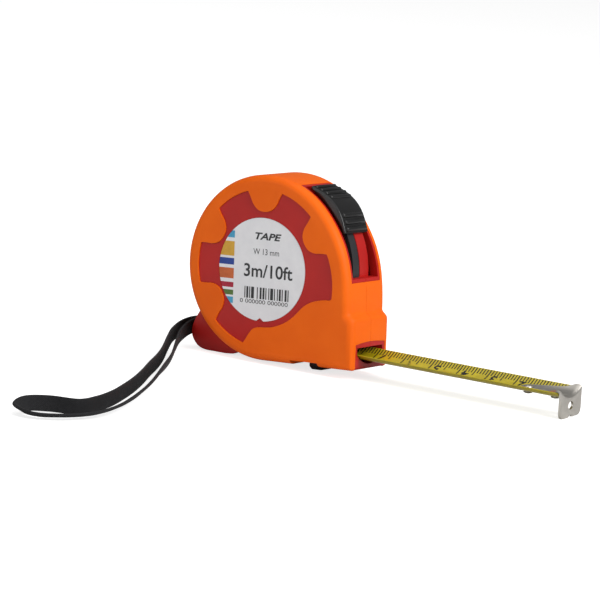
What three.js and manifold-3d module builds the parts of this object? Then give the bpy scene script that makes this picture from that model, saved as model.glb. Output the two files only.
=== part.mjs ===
// Pocket tape measure, 3 m: a two-colour case with a curved lock slider, a sprung reel,
// a cupped steel tape with a riveted end hook, a brake button underneath and a wrist strap.
// Millimetres, +Z up, +X along the drawn-out tape. The case stands nose-up by CASE_TILT, so
// the tape runs level and the hook and the strap lug both touch the surface it rests on.
import * as THREE from 'three';
import { mergeVertices } from 'three/addons/utils/BufferGeometryUtils.js';
import Module from 'manifold-3d';

const wasm = await Module();
wasm.setup();

// ---------- driving dimensions ----------
const GAP = 0.3;              // clearance between neighbouring pieces
const CASE_TILT = 3.5;        // nose-up lean of the case, degrees
const CASE_W = 21.7;          // case thickness across the two halves
const BODY_R = 28.8;          // radius of the round body
const NOSE = 4.7;             // from the round body's front to the foot's front face
const FOOT_H = 15.6;          // height of the foot that holds the mouth
const FOOT_STEP = 1.9;        // how far the foot stands proud of the front face
const RIM = 2.4;              // rounding of the case's outer rim
const SKIN = 1.2;             // soft overmould thickness
const WALL = 1.4;             // moulded shell wall
const STAR_SINK = 0.45;       // star face below the overmould face
const LABEL_T = 0.3;
const SLOT_HALF = 7.0;        // half width of the lock slider's slot
const SLOT_FROM = -2;         // slot ends, degrees round the body centre
const SLOT_TO = 65;
const LINING = 0.9;           // red edge round the slot
const MOUTH_PLAY = 0.75;      // mouth opening beyond each edge of the tape
const MOUTH_LOW = 1.6;        // mouth opening, bottom and top
const MOUTH_HIGH = 6.9;
const MOUTH_FRAME = 1.2;      // red edge round the mouth
const RECESS_FROM = -22.5;    // shallow recess round the brake button
const RECESS_TO = -12.5;
const RECESS_H = 1.3;
const SLIDER_FROM = 25;       // lock slider's ends, degrees round the body centre
const SLIDER_TO = 61.5;
const SLIDER_HUMP = 1.5;      // height of the thumb hump over the ends
const TONGUE_TO = -20;        // lower end of the lock tongue, degrees
const RIB_H = 0.5;
const BAR_R = 1.4;            // strap bar in the lug
const LUG_HALF = 5.0;
const CHEEK = 1.9;            // thickness of a lug cheek
const SCREW_ANGLES = [-3, 121, 240];
const SCREW_R = 1.0;
const HEAD_R = 1.8;
const HEAD_T = 1.0;
const ARBOR_R = 3.0;
const ARBOR_SCREW_TIP = 3.0;  // how near the middle the arbor's screw reaches
const REEL_FLOAT = 0.65;      // side play of the reel between its two seats
const DRUM_WALL = 1.2;
const SPRING_TURNS = 5;
const SPRING_T = 0.35;
const SPRING_W = 6.0;
const TAPE_W = 12.7;          // tape blade
const TAPE_T = 0.2;
const TAPE_CUP = 2.4;         // depth of the blade's cup
const TAPE_OUT = 70.2;        // tape drawn out in front of the case
const TAPE_IN = 19.0;         // straight tape kept inside the mouth
const TAPE_Z = 5.2;           // height of the blade's edges over the case's bottom
const TAPE_ROLL = 3.5;        // lean of the blade in the loose mouth, degrees
const HOOK_T = 0.8;
const HOOK_DROP = 8.1;        // leg below the blade's edges
const TONGUE_L = 16.5;
const TONGUE_HALF = 4.2;
const RIVET_AT = [4.6, 14.0]; // rivets behind the leg
const RIVET_R = 0.8;
const HOOK_PLAY = 0.6;        // true-zero travel of the hook on its rivets
const BUTTON_X = -17.0;       // brake button
const BUTTON_L = 6.4;
const BUTTON_HALF = 3.2;
const BUTTON_DROP = 1.85;     // how far it shows below the case
const STRAP_W = 4.6;          // woven strap, on edge
const STRAP_T = 0.9;
const STRAP_HALF_GAP = 1.15;  // half the distance between its two runs

// ---------- sizes that follow from them ----------
const K = BODY_R / 28.8;      // the star and the lug are drawn for a 28.8 mm body
const HALF = CASE_W / 2;
const BODY_X = -BODY_R - NOSE;
const BODY_Z = BODY_R;
const LABEL_R = 16.3 * K;
const SCREW_RING = 21.2 * K;
const COIL_R = 18.4 * K;      // outside of the wound tape
const DRUM_R = COIL_R - 5;
const DRUM_HALF = TAPE_W / 2 + 0.05;
const MOUTH_HALF = TAPE_W / 2 + MOUTH_PLAY;
const HOOK_W = TAPE_W - 0.5;
const RIVET_HEAD = RIVET_R + 0.7;
const SLIDER_HALF = SLOT_HALF - 0.5;
const SLIDER_IN = BODY_R - 0.6;
const SLIDER_OUT = BODY_R + 1.4;
const LOCK_FAR = -SLOT_HALF + 0.8;   // the lock tongue's two sides
const LOCK_NEAR = LOCK_FAR + 3.6;
const SHELL_IN = SKIN + GAP;
const CAVITY_IN = SHELL_IN + WALL;
const RAD = Math.PI / 180;

// ---------- materials ----------
const paint = (color, roughness, metalness = 0) =>
  new THREE.MeshStandardMaterial({ color, roughness, metalness });
const ORANGE = paint(0xf57a14, 0.6);
const RED = paint(0xb3201c, 0.35);
const BLACK = paint(0x1b1b1d, 0.45);
const GREY = paint(0x3b3b3e, 0.5);
const STEEL = paint(0xb9b6b0, 0.3, 1);
const YELLOW = paint(0xc9b21a, 0.35);
const PAPER = paint(0xe4e4e2, 0.4);
const WEBBING = paint(0x17171a, 0.85);

// ---------- small tools ----------
const polar = (r, deg) =>
  new THREE.Vector2(BODY_X + r * Math.cos(deg * RAD), BODY_Z + r * Math.sin(deg * RAD));

const arc = (r, from, to, step = 9) => {
  const n = Math.max(1, Math.round(Math.abs(to - from) / step));
  return Array.from({ length: n + 1 }, (_, i) => polar(r, from + (to - from) * i / n));
};

// a flat outline in X and Z, given thickness from y0 to y1
const slab = (points, y0, y1, options = {}) => {
  const shape = new THREE.Shape(points);
  const settings = { depth: y1 - y0, bevelEnabled: false, curveSegments: 8, ...options };
  const g = new THREE.ExtrudeGeometry(shape, settings);
  return g.rotateX(Math.PI / 2).translate(0, y1, 0);
};

const block = (x0, x1, y0, y1, z0, z1) => new THREE.BoxGeometry(x1 - x0, y1 - y0, z1 - z0)
  .translate((x0 + x1) / 2, (y0 + y1) / 2, (z0 + z1) / 2);

// a round bar along Y
const bar = (r, y0, y1, at, sides = 18) => new THREE.CylinderGeometry(r, r, y1 - y0, sides)
  .translate(at.x, (y0 + y1) / 2, at.y);

const solid = (geometry) => {
  const g = geometry.clone();
  g.deleteAttribute('normal');
  g.deleteAttribute('uv');
  const m = mergeVertices(g, 1e-4);
  return new wasm.Manifold(new wasm.Mesh({
    numProp: 3,
    vertProperties: new Float32Array(m.attributes.position.array),
    triVerts: new Uint32Array(m.index.array),
  }));
};

const carve = (base, joined = [], cut = []) => {
  let s = solid(base);
  for (const g of joined) s = s.add(solid(g));
  for (const g of cut) s = s.subtract(solid(g));
  return s;
};

const geometryOf = (s) => {
  const mesh = s.getMesh();
  const g = new THREE.BufferGeometry();
  g.setAttribute('position', new THREE.BufferAttribute(new Float32Array(mesh.vertProperties), 3));
  g.setIndex(new THREE.BufferAttribute(new Uint32Array(mesh.triVerts), 1));
  g.computeVertexNormals();
  return g;
};

// the other half of a piece, mirrored across the parting plane
const mirrored = (geometry) => {
  const g = mergeVertices(geometry.clone()).scale(1, -1, 1);
  const index = g.index.array;
  for (let i = 0; i < index.length; i += 3) [index[i], index[i + 1]] = [index[i + 1], index[i]];
  g.computeVertexNormals();
  return g;
};

const piece = (name, geometry, material) => {
  const mesh = new THREE.Mesh(geometry, material);
  mesh.name = name;
  return mesh;
};

// ---------- outlines of the case ----------
// side outline of the case, moved in by inset: round body, slanting front, square foot
const caseOutline = (inset) => {
  const blendAt = 40;
  const body = arc(BODY_R - inset, 270, blendAt, 9);
  const start = body[body.length - 1];
  const reach = 12;
  const step = -FOOT_STEP - inset;
  const end = new THREE.Vector2(step, FOOT_H + 3.4);
  const curve = new THREE.CubicBezierCurve(
    start,
    new THREE.Vector2(start.x + reach * Math.sin(blendAt * RAD), start.y - reach * Math.cos(blendAt * RAD)),
    new THREE.Vector2(end.x - 0.15, end.y + 11),
    end,
  );
  const front = curve.getPoints(6).slice(1);
  const foot = [
    new THREE.Vector2(step, FOOT_H + 1.6 - inset * 0.6),
    new THREE.Vector2(-0.5 - inset, FOOT_H - inset * 0.6),
    new THREE.Vector2(-inset, FOOT_H - 0.8 - inset * 0.6),
  ];
  const heel = inset > 0
    ? [new THREE.Vector2(-inset, inset)]
    : [new THREE.Vector2(0, 0.9), new THREE.Vector2(-0.3, 0.3), new THREE.Vector2(-0.9, 0)];
  return [...body, ...front, ...foot, ...heel];
};

// five-armed star round the label: bowls of overmould reach in between its arms
const starOutline = (grow) => {
  const bowl = [[-6.3, 23.2], [-5.1, 21.5], [-4.1, 19.6], [-2.3, 18.0], [0, 17.5]];
  const inner = [...bowl, ...bowl.slice(0, -1).reverse().map(([u, v]) => [-u, v])];
  const points = [];
  const put = (r, deg) => points.push(polar(r * K, deg));
  for (const arm of [0, 60, 120, 180]) {
    put(24.3 + grow, arm);
    for (const [u, v] of inner) {
      const across = u - Math.sign(u) * grow;
      put(Math.hypot(across, v + grow), arm + 30 + Math.atan2(across, v + grow) / RAD);
    }
  }
  put(24.6 + grow, 240);
  put(24.6 + grow, 254.5 + grow);
  put(20.6 + grow, 258 + grow);
  for (let deg = 263; deg <= 327; deg += 10.6) put(18.3 + grow, deg);
  put(19.4 + grow, 335 - grow);
  put(22.4 + grow, 341 - grow);
  put(26.4 + grow, 343.5 - grow);
  return points;
};

// part of a ring round the body centre, reaching out past the case wall
const sector = (r0, r1, from, to) => [...arc(r0, to, from), ...arc(r1, from, to)];

const lugOutline = (grow) => [
  [-20.5, 17.0], [-26.0 - grow, 14.5 + grow], [-28.1 - grow, 11.6], [-29.7 - grow, 8.4], [-30.1 - grow, 5.4],
  [-28.9 - grow, 2.9 - grow], [-26.7 - grow, 1.1 - grow], [-24.1, 0.5 - grow],
  [-12.5, 1.0 - grow], [-12.5, 6.0],
].map(([x, z]) => new THREE.Vector2(BODY_X + x * K, z * K));

const BAR_AT = new THREE.Vector2(BODY_X - 26.7 * K, 6.2 * K);
const screwAt = (deg) => polar(SCREW_RING, deg);
const CENTRE = new THREE.Vector2(BODY_X, BODY_Z);

// ---------- case halves, near side ----------
// the red edge round the slot and round the mouth, as solids that reach the outer surface
const slotLining = (grow) => {
  const more = 2 + grow * 2;
  const ring = sector(BODY_R - 4.2, BODY_R + 11, SLOT_FROM - more, SLOT_TO + more);
  return slab(ring, -SLOT_HALF - LINING - grow, 0);
};
const mouthLining = (grow) =>
  block(-5, 4, -MOUTH_HALF - MOUTH_FRAME + 0.2 - grow, 0, -3, MOUTH_HIGH + 1.4 + grow);
const slotCut = () => slab(sector(BODY_R - 4.8, BODY_R + 11, SLOT_FROM, SLOT_TO), -SLOT_HALF, 1);
const mouthCut = () => block(-TAPE_IN - 4, 4, -MOUTH_HALF, 1, MOUTH_LOW, MOUTH_HIGH);
const buttonCut = () => block(
  BUTTON_X - BUTTON_L / 2 - GAP, BUTTON_X + BUTTON_L / 2 + GAP, -BUTTON_HALF - GAP, 1, -3, 5);

function nearShell() {
  const parting = -GAP / 2;
  const rim = solid(slab(caseOutline(0.25), -HALF + SHELL_IN, parting));
  const liners = solid(slotLining(0)).add(solid(mouthLining(0)));
  const edge = rim.intersect(liners);
  const joined = [
    slab(starOutline(0), -HALF + STAR_SINK, -HALF + SHELL_IN + 0.2),
    slab(lugOutline(0), -LUG_HALF, -LUG_HALF + CHEEK),
  ];
  let shell = carve(slab(caseOutline(SHELL_IN), -HALF + SHELL_IN, parting), joined);
  shell = shell.add(edge).subtract(solid(slab(caseOutline(CAVITY_IN), -HALF + CAVITY_IN, 1)));
  const bosses = SCREW_ANGLES.map((deg) => bar(2.2, -HALF + SHELL_IN + 0.5, parting, screwAt(deg)));
  const seat = bar(4.8, -HALF + SHELL_IN + 0.5, -DRUM_HALF - REEL_FLOAT, CENTRE, 20);
  for (const g of [...bosses, seat]) shell = shell.add(solid(g));
  const holes = [
    slotCut(), mouthCut(), buttonCut(),
    bar(LABEL_R + GAP, -HALF - 1, -HALF + STAR_SINK + 0.35, CENTRE, 48),
    bar(ARBOR_R + GAP, -HALF + SHELL_IN + 1.5, 0, CENTRE, 20),
    bar(BAR_R + GAP, -LUG_HALF + 0.6, 0, BAR_AT),
  ];
  for (const g of holes) shell = shell.subtract(solid(g));
  return shell;
}

function nearOvermould() {
  const outer = slab(caseOutline(RIM), -HALF + RIM, RIM + 2, {
    bevelEnabled: true, bevelThickness: RIM, bevelSize: RIM, bevelSegments: 3,
  });
  return carve(outer, [], [
    slab(caseOutline(SKIN), -HALF + SKIN, CASE_W),
    block(-90, 20, -GAP / 2, CASE_W, -10, 80),
    slab(starOutline(GAP), -HALF - 1, -HALF + SKIN + 1),
    slotLining(GAP),
    mouthLining(GAP),
    slab(lugOutline(GAP), -LUG_HALF - GAP, 1),
    block(RECESS_FROM, RECESS_TO, -HALF - 1, 1, -3, RECESS_H),
  ]);
}

const screwHoles = (from, to, r) => SCREW_ANGLES.map((deg) => bar(r, from, to, screwAt(deg), 16));

function caseHalves() {
  const near = nearShell();
  const far = solid(mirrored(geometryOf(near)));
  const headSeat = HALF - STAR_SINK - HEAD_T - 0.4;
  let left = near;
  for (const g of screwHoles(-5.5, 0, SCREW_R + GAP)) left = left.subtract(solid(g));
  let right = far;
  const railIn = BODY_R - 3.8;
  const rail = slab(sector(railIn, BODY_R - 1.7, SLOT_FROM - 5, SLOT_TO + 3), GAP / 2, 3.0);
  const railFoot = slab(sector(railIn, BODY_R + 0.2, SLOT_FROM - 6, SLOT_FROM - 2.5), GAP / 2, 3.0);
  right = right.add(solid(rail)).add(solid(railFoot));
  for (const g of screwHoles(-1, HALF + 1, SCREW_R + GAP)) right = right.subtract(solid(g));
  for (const g of screwHoles(headSeat, HALF + 1, HEAD_R + GAP)) right = right.subtract(solid(g));
  right = right.subtract(solid(bar(SCREW_R + GAP, 0, HALF + 1, CENTRE)));
  right = right.subtract(solid(bar(HEAD_R + GAP, HALF - 2.3, HALF + 1, CENTRE)));
  const skin = geometryOf(nearOvermould());
  return [
    piece('left_shell', geometryOf(left), RED),
    piece('right_shell', geometryOf(right), RED),
    piece('left_overmould', skin, ORANGE),
    piece('right_overmould', mirrored(skin), ORANGE),
  ];
}

function labels() {
  const floor = HALF - STAR_SINK - 0.35 + GAP;
  const left = bar(LABEL_R, -floor - LABEL_T, -floor, CENTRE, 48);
  return [
    piece('left_label', left, PAPER),
    piece('right_label', mirrored(left), PAPER),
  ];
}

// pan-head screw entering from the far side, its tip in the near half's boss
function screw(name, at, headTop, tip) {
  const profile = [
    [0, tip], [SCREW_R * 0.6, tip], [SCREW_R, tip + 0.8], [SCREW_R, headTop - HEAD_T],
    [HEAD_R, headTop - HEAD_T], [HEAD_R, headTop - 0.4], [HEAD_R - 0.5, headTop], [0, headTop],
  ].map(([r, y]) => new THREE.Vector2(r, y));
  const body = new THREE.LatheGeometry(profile, 14).translate(at.x, 0, at.y);
  const slots = [0, 90].map((deg) => new THREE.BoxGeometry(0.5, 1.0, 2.2)
    .rotateY(deg * RAD).translate(at.x, headTop, at.y));
  return piece(name, geometryOf(carve(body, [], slots)), STEEL);
}

function screws() {
  const names = ['front_screw', 'top_screw', 'rear_screw'];
  const headTop = HALF - STAR_SINK - 0.1;
  return [
    ...names.map((name, i) => screw(name, screwAt(SCREW_ANGLES[i]), headTop, -4.8)),
    screw('centre_screw', CENTRE, HALF - STAR_SINK - 0.55, ARBOR_SCREW_TIP),
  ];
}

// ---------- reel ----------
function arbor() {
  const half = HALF - SHELL_IN - 1.8;
  const body = bar(ARBOR_R, -half, half, CENTRE, 20);
  const low = -DRUM_HALF + 0.8;
  const high = low + SPRING_W + 1.1;
  const splitSlot = block(BODY_X - 4, BODY_X + 4, low, high, BODY_Z - 0.45, BODY_Z + 0.45);
  const threadHole = bar(SCREW_R + GAP, ARBOR_SCREW_TIP - 0.6, half + 1, CENTRE, 14);
  return piece('spring_arbor', geometryOf(carve(body, [], [splitSlot, threadHole])), STEEL);
}

// steel ribbon wound round the arbor, its inner end hooked into the arbor's slot
function powerSpring() {
  const first = ARBOR_R + 0.6;
  const last = DRUM_R - DRUM_WALL - 0.7;
  const steps = SPRING_TURNS * 20;
  const edge = (shift) => Array.from({ length: steps + 1 }, (_, i) => {
    const t = i / steps;
    return polar(first + (last - first) * t + shift, 360 * SPRING_TURNS * t);
  });
  const tab = [
    new THREE.Vector2(BODY_X + 0.8, BODY_Z + 0.05),
    new THREE.Vector2(BODY_X + 0.8, BODY_Z - SPRING_T),
    new THREE.Vector2(BODY_X + first, BODY_Z - SPRING_T),
  ];
  const outline = [...edge(SPRING_T), ...edge(0).reverse(), ...tab];
  const low = -DRUM_HALF + 1.4;
  return piece('power_spring', slab(outline, low, low + SPRING_W), STEEL);
}

function drum() {
  const wall = bar(DRUM_R, -DRUM_HALF, DRUM_HALF - 0.7, CENTRE, 32);
  const hollow = bar(DRUM_R - DRUM_WALL, -DRUM_HALF + 0.9, DRUM_HALF, CENTRE, 32);
  const bore = bar(ARBOR_R + GAP + 0.1, -DRUM_HALF - 1, DRUM_HALF, CENTRE, 20);
  return piece('reel_drum', geometryOf(carve(wall, [], [hollow, bore])), BLACK);
}

function drumCover() {
  const y0 = DRUM_HALF - 0.7 + GAP;
  const disc = bar(DRUM_R, y0, y0 + 0.8, CENTRE, 32);
  const bore = bar(ARBOR_R + GAP + 0.1, y0 - 1, y0 + 2, CENTRE, 20);
  return piece('reel_cover', geometryOf(carve(disc, [], [bore])), BLACK);
}

function woundTape() {
  const ring = bar(COIL_R, -TAPE_W / 2, TAPE_W / 2, CENTRE, 36);
  const hole = bar(DRUM_R + GAP, -TAPE_W, TAPE_W, CENTRE, 32);
  return piece('tape_coil', geometryOf(carve(ring, [], [hole])), YELLOW);
}

// the stretch that leaves the coil and flattens out towards the mouth
function tapeLead() {
  const r = COIL_R + GAP + 0.1;
  const leave = 253;
  const start = polar(r, leave);
  const end = new THREE.Vector2(-TAPE_IN - 0.5, TAPE_Z + TAPE_IN * Math.sin(CASE_TILT * RAD) - 1.0);
  const slope = new THREE.Vector2(Math.sin((270 - leave) * RAD), 0);
  const curve = new THREE.CubicBezierCurve(
    start,
    new THREE.Vector2(start.x + 8, start.y - 8 * slope.x),
    new THREE.Vector2(end.x - 7, end.y + 7 * Math.tan(9 * RAD)),
    end,
  );
  const under = curve.getPoints(8);
  const over = under.map((p) => new THREE.Vector2(p.x + 0.05, p.y + TAPE_T)).reverse();
  return piece('tape_lead', slab([...under, ...over], -TAPE_W / 2 + 0.1, TAPE_W / 2 - 0.1), YELLOW);
}

// ---------- lock slider ----------
// ribbed thumb piece: ribs at both ends, a smooth hump in the middle
function sliderOutline() {
  const span = SLIDER_TO - SLIDER_FROM;
  const height = (deg) => {
    const t = (deg - SLIDER_FROM) / span;
    return SLIDER_OUT + SLIDER_HUMP * Math.sin(Math.PI * Math.min(1, t * 1.05)) ** 1.2;
  };
  const ribs = [27.5, 31.5, 35.5, 49.5, 53, 56.5, 60];
  const outer = [];
  for (const deg of ribs) {
    outer.push(polar(height(deg) - RIB_H, deg - 1.4), polar(height(deg), deg - 0.6));
    outer.push(polar(height(deg), deg + 0.6), polar(height(deg) - RIB_H, deg + 1.4));
    if (deg === 35.5) outer.push(polar(height(40), 40), polar(height(44), 44));
  }
  return [polar(SLIDER_OUT - 0.8, SLIDER_FROM), ...outer, polar(SLIDER_OUT - 0.8, SLIDER_TO),
    ...arc(SLIDER_IN, SLIDER_TO, SLIDER_FROM, 7)];
}

function lockSlider() {
  const cap = slab(sliderOutline(), -SLIDER_HALF, SLIDER_HALF);
  const stem = slab(sector(BODY_R - 1.4, SLIDER_IN + 0.5, 40, 46), LOCK_FAR, LOCK_NEAR);
  return piece('lock_slider', geometryOf(carve(cap, [stem])), BLACK);
}

function lockTongue() {
  const strip = slab(sector(BODY_R - 2.8, BODY_R - 1.7, TONGUE_TO, 56), LOCK_FAR, LOCK_NEAR);
  const wedge = slab(sector(BODY_R - 3.9, BODY_R - 1.7, TONGUE_TO, TONGUE_TO + 5), LOCK_FAR, LOCK_NEAR);
  return piece('lock_tongue', geometryOf(carve(strip, [wedge])), GREY);
}

// ---------- brake button and strap bar ----------
function brakeButton() {
  const x0 = BUTTON_X - BUTTON_L / 2;
  const x1 = BUTTON_X + BUTTON_L / 2;
  const nub = [
    [x0 + 0.9, -BUTTON_DROP], [x1 - 1.8, -BUTTON_DROP], [x1, 0.3], [x1, 2.6], [x0, 2.6], [x0, -0.9],
  ].map(([x, z]) => new THREE.Vector2(x, z));
  const body = slab(nub, -BUTTON_HALF, BUTTON_HALF);
  const earLow = CAVITY_IN + 0.2;
  const span = (side, inner, outer, low, high) =>
    block(x0, x1, Math.min(side * inner, side * outer), Math.max(side * inner, side * outer), low, high);
  const ears = [-1, 1].map((side) => span(side, BUTTON_HALF - 0.4, BUTTON_HALF + 1.6, earLow, earLow + 0.4));
  const posts = [-1, 1].map((side) => span(side, BUTTON_HALF - 0.4, BUTTON_HALF, 2, earLow + 0.4));
  return piece('brake_button', geometryOf(carve(body, [...ears, ...posts])), BLACK);
}

const strapBar = () => piece('strap_bar', bar(BAR_R, -LUG_HALF + 0.9, LUG_HALF - 0.9, BAR_AT, 16), STEEL);

// ---------- tape blade and hook, in the level frame ----------
const cupZ = (y) => TAPE_Z - TAPE_CUP * (1 - (2 * y / TAPE_W) ** 2);

// a strip cupped like the blade, from x0 to x1, lifted off the blade's underside
function cupped(x0, x1, halfWidth, lift, thickness) {
  const n = 12;
  const ys = Array.from({ length: n + 1 }, (_, i) => -halfWidth + 2 * halfWidth * i / n);
  const low = ys.map((y) => new THREE.Vector2(y, cupZ(y) + lift));
  const high = ys.map((y) => new THREE.Vector2(y, cupZ(y) + lift + thickness)).reverse();
  const section = new THREE.Shape([...low, ...high]);
  const g = new THREE.ExtrudeGeometry(section, { depth: x1 - x0, bevelEnabled: false });
  // section's x to Y, section's y to Z, depth to X
  return g.applyMatrix4(new THREE.Matrix4().set(0, 0, 1, x0, 1, 0, 0, 0, 0, 1, 0, 0, 0, 0, 0, 1));
}

const post = (r, x, z0, z1, sides = 14) => new THREE.CylinderGeometry(r, r, z1 - z0, sides)
  .rotateX(Math.PI / 2).translate(x, 0, (z0 + z1) / 2);

function tapeBlade() {
  const strip = cupped(-TAPE_IN, TAPE_OUT - 0.4, TAPE_W / 2, -TAPE_T, TAPE_T);
  const holes = RIVET_AT.map((back) => post(RIVET_R + GAP, TAPE_OUT - back, 0, TAPE_Z + 2));
  return piece('tape_blade', geometryOf(carve(strip, [], holes)), YELLOW);
}

function hook() {
  const top = TAPE_Z + 0.9;
  const bottom = TAPE_Z - HOOK_DROP;
  const half = HOOK_W / 2;
  const leg = [
    [-half, cupZ(half) + 0.3], [-half, bottom + 1.6], [-half + 0.5, bottom + 0.5], [-half + 1.6, bottom],
    [-1.3, bottom], [-0.8, bottom + 0.6], [0.8, bottom + 0.6], [1.3, bottom],
    [half - 1.6, bottom], [half - 0.5, bottom + 0.5], [half, bottom + 1.6], [half, cupZ(half) + 0.3],
    [half - 0.3, top], [half - 1.2, top], [half - 1.9, cupZ(half - 1.9) + 1.3], [0, cupZ(0) + 1.1],
    [1.9 - half, cupZ(half - 1.9) + 1.3], [1.2 - half, top], [0.3 - half, top],
  ].map(([y, z]) => new THREE.Vector2(y, z));
  const x0 = TAPE_OUT;
  const plate = new THREE.ExtrudeGeometry(new THREE.Shape(leg), { depth: HOOK_T, bevelEnabled: false })
    .applyMatrix4(new THREE.Matrix4().set(0, 0, 1, x0, 1, 0, 0, 0, 0, 1, 0, 0, 0, 0, 0, 1));
  const strip = solid(cupped(x0 - TONGUE_L, x0 + HOOK_T / 2, half - 0.5, GAP, 0.6));
  const plan = [
    [x0 + 0.5, 0.7 - half], [x0 + 0.5, half - 0.7], [x0 - 2.5, half - 1.1], [x0 - 4.5, TONGUE_HALF],
    [x0 - TONGUE_L + 3.5, 2.6], [x0 - TONGUE_L + 0.9, 1.8], [x0 - TONGUE_L, 0],
    [x0 - TONGUE_L + 0.9, -1.8], [x0 - TONGUE_L + 3.5, -2.6], [x0 - 4.5, -TONGUE_HALF],
    [x0 - 2.5, 1.1 - half],
  ].map(([x, y]) => new THREE.Vector2(x, y));
  const trim = new THREE.ExtrudeGeometry(new THREE.Shape(plan), { depth: 10, bevelEnabled: false });
  let body = solid(plate).add(strip.intersect(solid(trim)));
  const hole = new THREE.CylinderGeometry(1.25, 1.25, 4, 16).rotateZ(Math.PI / 2)
    .translate(x0 + 0.4, 0, bottom + 3.6);
  body = body.subtract(solid(hole));
  for (const back of RIVET_AT) {
    const r = RIVET_R + GAP;
    const at = x0 - back;
    body = body.subtract(solid(post(r, at, 0, 10)));
    body = body.subtract(solid(post(r, at - HOOK_PLAY, 0, 10)));
    body = body.subtract(solid(block(at - HOOK_PLAY, at, -r * 0.98, r * 0.98, 0, 10)));
  }
  return piece('end_hook', geometryOf(body), STEEL);
}

function rivet(name, back) {
  const low = cupZ(0) - TAPE_T - GAP;
  const high = cupZ(0) + GAP * 2 + 1.0;
  const profile = [
    [0, low - 0.45], [RIVET_HEAD - 0.5, low - 0.45], [RIVET_HEAD, low], [RIVET_R, low], [RIVET_R, high],
    [RIVET_HEAD, high], [RIVET_HEAD - 0.5, high + 0.45], [0, high + 0.45],
  ].map(([r, z]) => new THREE.Vector2(r, z));
  const g = new THREE.LatheGeometry(profile, 14).rotateX(Math.PI / 2).translate(TAPE_OUT - back, 0, 0);
  return piece(name, g, STEEL);
}

// ---------- wrist strap ----------
// middle line of the strap's two runs and its far eye, seen from above; x counts from the strap bar
const STRAP_ROUTE = [
  [-3.0, 0], [-5.0, -1.0], [-6.0, -5.0], [-4.6, -12], [-0.6, -20], [4.8, -29], [10.6, -38.5], [16.5, -49],
  [22.7, -61], [29.7, -74], [36.2, -87], [41.7, -99.5], [46.2, -111], [49.0, -121.5], [49.4, -130.5],
];
const EYE = [[47.8, -139.5], [43.8, -144.6], [37.8, -144], [36.0, -138.4], [40.4, -134]];
// the strap stands on edge on the floor and climbs to the lug over its last stretch
const STRAP_CLIMB = 29;       // how far out it starts to climb
const STRAP_RISE = 4.8;
const STRAP_MID = -0.6;       // height of its middle line on the floor

function strap() {
  const at = ([x, y]) => new THREE.Vector2(BAR_AT.x + x, y);
  const sideOf = (points) => points.map((p, i) => {
    const a = points[Math.max(0, i - 1)];
    const b = points[Math.min(points.length - 1, i + 1)];
    return new THREE.Vector2(-(b.y - a.y), b.x - a.x).normalize();
  });
  const moved = (points, by) => {
    const side = sideOf(points);
    return points.map((p, i) => p.clone().addScaledVector(side[i], by));
  };
  const route = STRAP_ROUTE.map(at);
  const line = [...moved(route, STRAP_HALF_GAP), ...EYE.map(at), ...moved(route, -STRAP_HALF_GAP).reverse()];
  const path = new THREE.CatmullRomCurve3(
    line.map((p) => new THREE.Vector3(p.x, p.y, 0)), false, 'centripetal');
  const middle = path.getSpacedPoints(78).map((p) => new THREE.Vector2(p.x, p.y));
  const outline = [...moved(middle, STRAP_T / 2), ...moved(middle, -STRAP_T / 2).reverse()];
  const g = new THREE.ExtrudeGeometry(new THREE.Shape(outline), { depth: STRAP_W, bevelEnabled: false });
  g.translate(0, 0, STRAP_MID - STRAP_W / 2);
  const place = g.attributes.position;
  for (let i = 0; i < place.count; i += 1) {
    const near = Math.min(1, Math.max(0, 1 + place.getY(i) / STRAP_CLIMB));
    place.setZ(i, place.getZ(i) + STRAP_RISE * near ** 2);
  }
  g.computeVertexNormals();
  return piece('wrist_strap', g, WEBBING);
}

// ---------- assembly ----------
const caseGroup = new THREE.Group();
caseGroup.rotation.y = -CASE_TILT * RAD;
caseGroup.add(
  ...caseHalves(), ...labels(), ...screws(), arbor(), powerSpring(), drum(), drumCover(), woundTape(),
  tapeLead(), lockSlider(), lockTongue(), brakeButton(), strapBar(),
);

const tapeGroup = new THREE.Group();
const roll = TAPE_ROLL * RAD;
tapeGroup.rotation.x = roll;
tapeGroup.position.set(0, TAPE_Z * Math.sin(roll), TAPE_Z * (1 - Math.cos(roll)));
tapeGroup.add(tapeBlade(), hook(), rivet('front_rivet', RIVET_AT[0]), rivet('rear_rivet', RIVET_AT[1]));

const tape = new THREE.Group();
tape.add(caseGroup, tapeGroup);
tape.updateMatrixWorld(true);
const box = new THREE.Box3().setFromObject(tape, true);
tape.position.set(-(box.min.x + box.max.x) / 2, -(box.min.y + box.max.y) / 2, -box.min.z);
tape.add(strap());

export default tape;
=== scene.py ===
# %% [markdown]
# A pocket tape measure, piece by piece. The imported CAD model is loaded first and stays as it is:
# its boxes say where every new piece goes, and its bodies say what moves. Sizes below are in
# millimetres and each piece is turned into metres in one step, because a maker thinks in
# millimetres and the frame is in metres.

# %% Load the frame
import math

import bmesh
import bpy
from mathutils import Matrix, Vector


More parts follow.
